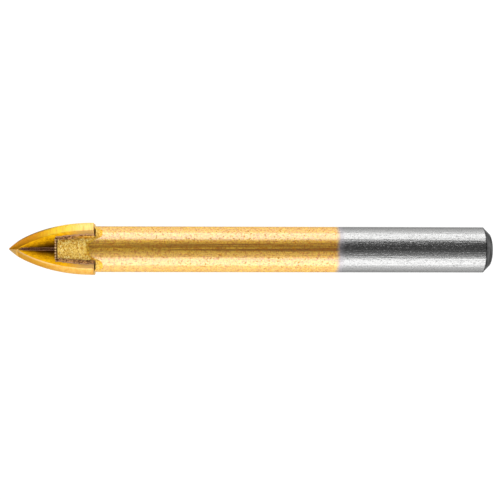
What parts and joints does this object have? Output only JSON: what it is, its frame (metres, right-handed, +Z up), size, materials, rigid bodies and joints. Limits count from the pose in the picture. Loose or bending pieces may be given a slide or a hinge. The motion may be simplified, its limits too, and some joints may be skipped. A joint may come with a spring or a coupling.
{
  "type": "glass and tile drill bit",
  "caption": "Round-shank drill bit with a cross of ground carbide plates brazed into a slotted steel bar, gold coated over its front two thirds.",
  "frame": {"origin": "on the ground under the middle of the bit, as it lies on two blades and the rear rim of its shank", "axes": "+X along the bit from its point to the end of its shank, +Z up"},
  "size_m": [0.09, 0.0096, 0.0096],
  "materials": {
    "coated_steel": "satin titanium nitride coat on the front, bare ground steel at the rear",
    "coated_carbide": "ground, with a gold titanium nitride coat",
    "braze": "rough, as brazed"
  },
  "bodies": {
    "root": {"shank_body": "coated_steel", "main_blade": "coated_carbide", "side_blade_1": "coated_carbide", "side_blade_2": "coated_carbide", "braze_seam_1": "braze", "braze_seam_2": "braze", "braze_seam_3": "braze", "braze_seam_4": "braze"}
  },
  "joints": []
}
